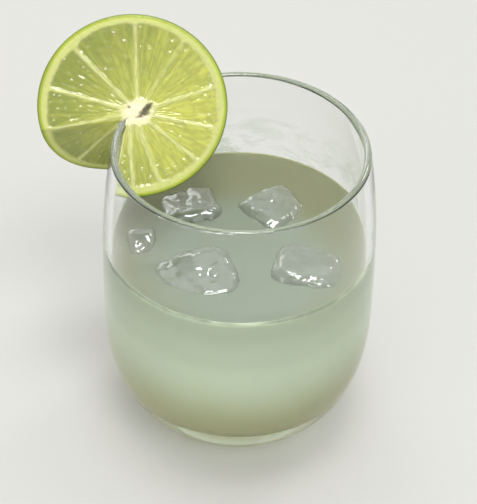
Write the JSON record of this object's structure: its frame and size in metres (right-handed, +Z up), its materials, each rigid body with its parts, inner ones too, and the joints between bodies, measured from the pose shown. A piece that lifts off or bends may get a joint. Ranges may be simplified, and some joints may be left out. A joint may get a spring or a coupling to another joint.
{
  "type": "tequila gimlet",
  "caption": "Cloudy iced lime cocktail in a rounded stemless glass tumbler, with a slit lime wheel riding on the rim.",
  "frame": {"origin": "middle of the glass's flat foot, on the surface that it stands on", "axes": "+Z up, -Y towards the viewer's side, the lime wheel at the back left (-X, +Y)"},
  "size_m": [0.1021, 0.0832, 0.1257],
  "materials": {
    "glass": "clear polished glass",
    "drink": "cloudy pale green lime drink",
    "ice": "wet melting ice",
    "lime": "wet cut lime with a green peel"
  },
  "bodies": {
    "root": {"glass": "glass", "drink": "drink", "ice_cube_1": "ice", "ice_cube_2": "ice", "ice_cube_3": "ice", "ice_cube_4": "ice", "ice_cube_5": "ice", "lime_wheel": "lime"}
  },
  "joints": []
}
